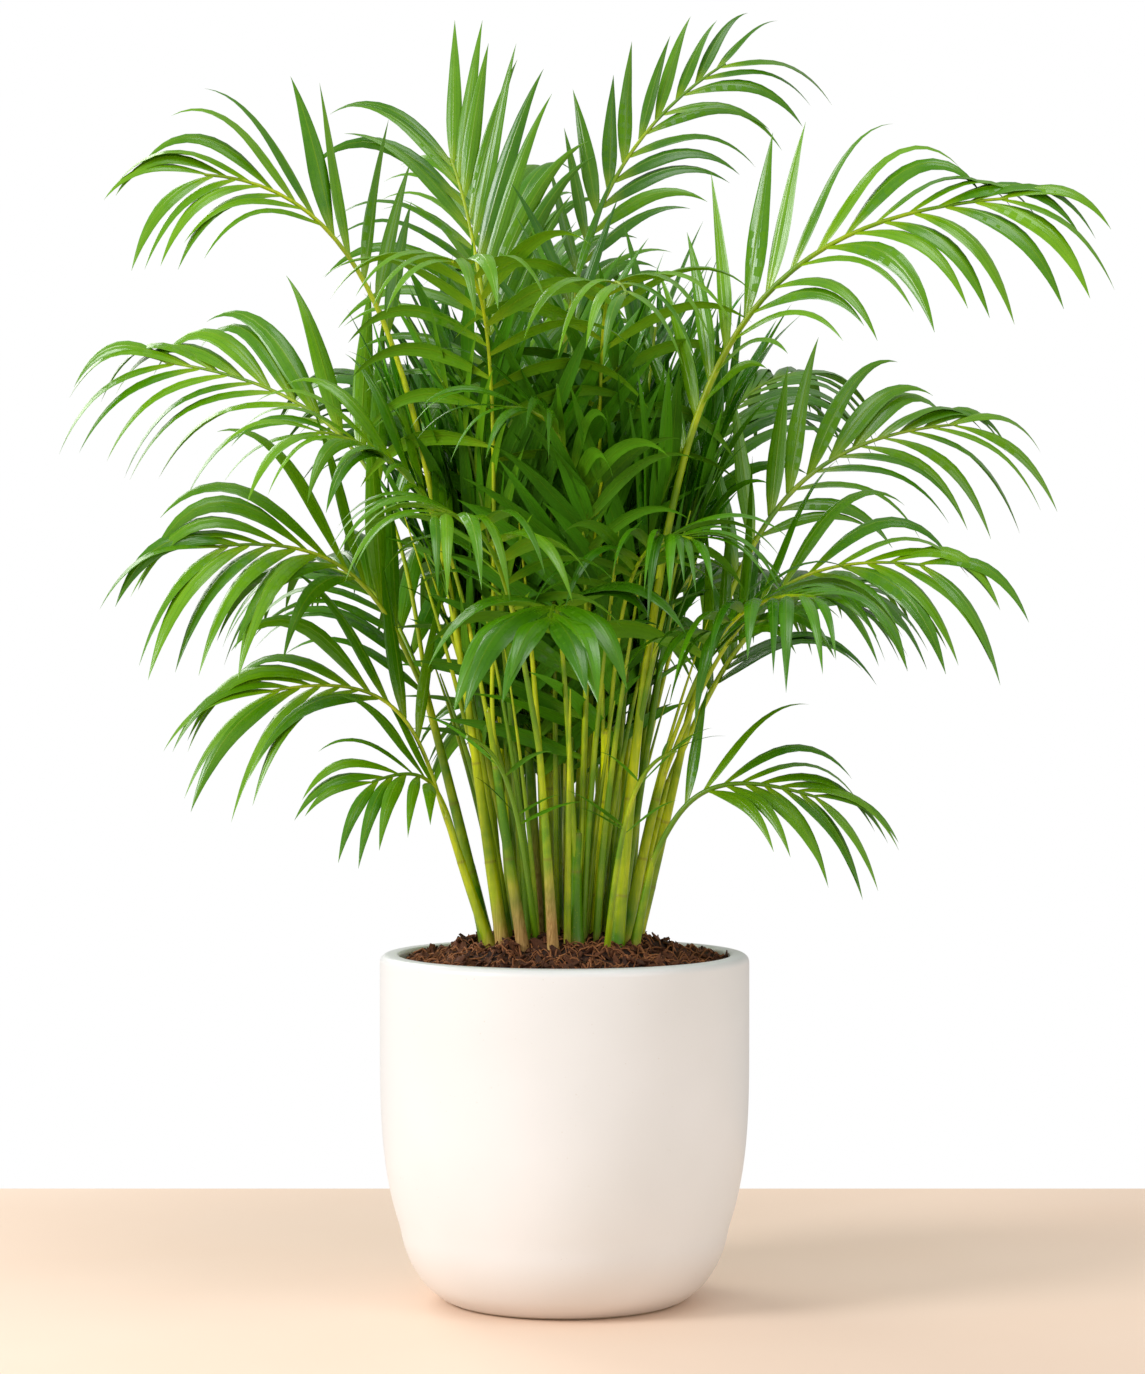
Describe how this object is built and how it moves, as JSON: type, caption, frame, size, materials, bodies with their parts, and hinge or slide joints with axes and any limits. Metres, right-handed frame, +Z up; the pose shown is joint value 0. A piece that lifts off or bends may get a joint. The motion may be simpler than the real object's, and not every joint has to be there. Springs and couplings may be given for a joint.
{
  "type": "potted bamboo palm",
  "caption": "Clump of slender green canes with arching feather fronds, standing in a round tapered ceramic pot filled with planting mix.",
  "frame": {"origin": "centre of the pot's flat underside", "axes": "+Z up along the pot's axis, -Y towards the side that the picture shows, +X to that viewer's right"},
  "size_m": [0.7926, 0.6891, 1.0008],
  "materials": {
    "pot_glaze": "satin warm white glaze, plain all round",
    "potting_mix": "rough, loose dark brown coir and bark chips",
    "cane": "smooth, slightly waxy green skin with brown sheaths at the foot",
    "frond": "glossy pleated green leaflets on a yellow-green rib"
  },
  "bodies": {
    "root": {"pot": "pot_glaze", "potting_mix": "potting_mix", "cane_left_low": "cane", "cane_left_mid": "cane", "cane_left_top": "cane", "cane_left_inner": "cane", "cane_crown_left": "cane", "cane_crown_right": "cane", "cane_front": "cane", "cane_front_right": "cane", "cane_front_left": "cane", "cane_right_top": "cane", "cane_right_mid": "cane", "cane_right_low": "cane", "cane_right_high": "cane", "cane_back_left": "cane", "cane_back": "cane", "cane_back_top": "cane", "cane_back_right": "cane", "cane_back_outer_left": "cane", "cane_back_outer_right": "cane", "cane_back_low": "cane", "frond_left_low": "frond", "frond_left_low_2": "frond", "frond_left_mid": "frond", "frond_left_mid_2": "frond", "frond_left_top": "frond", "frond_left_inner": "frond", "frond_crown_left": "frond", "frond_crown_right": "frond", "frond_right_top": "frond", "frond_right_high": "frond", "frond_right_mid": "frond", "frond_right_low": "frond", "frond_front": "frond", "frond_front_2": "frond", "frond_front_right": "frond", "frond_front_right_2": "frond", "frond_left_inner_2": "frond", "frond_front_left": "frond", "frond_right_mid_2": "frond", "frond_back_left": "frond", "frond_back_left_2": "frond", "frond_back": "frond", "frond_back_2": "frond", "frond_back_top": "frond", "frond_back_right": "frond", "frond_back_right_2": "frond", "frond_back_outer_left": "frond", "frond_back_outer_right": "frond", "frond_back_low": "frond", "frond_back_low_2": "frond", "frond_young_left": "frond", "frond_young_left_front": "frond", "frond_young_front_left": "frond", "frond_young_front_right": "frond", "frond_young_right": "frond", "frond_young_heart": "frond", "frond_young_heart_right": "frond", "frond_young_heart_left": "frond"}
  },
  "joints": []
}
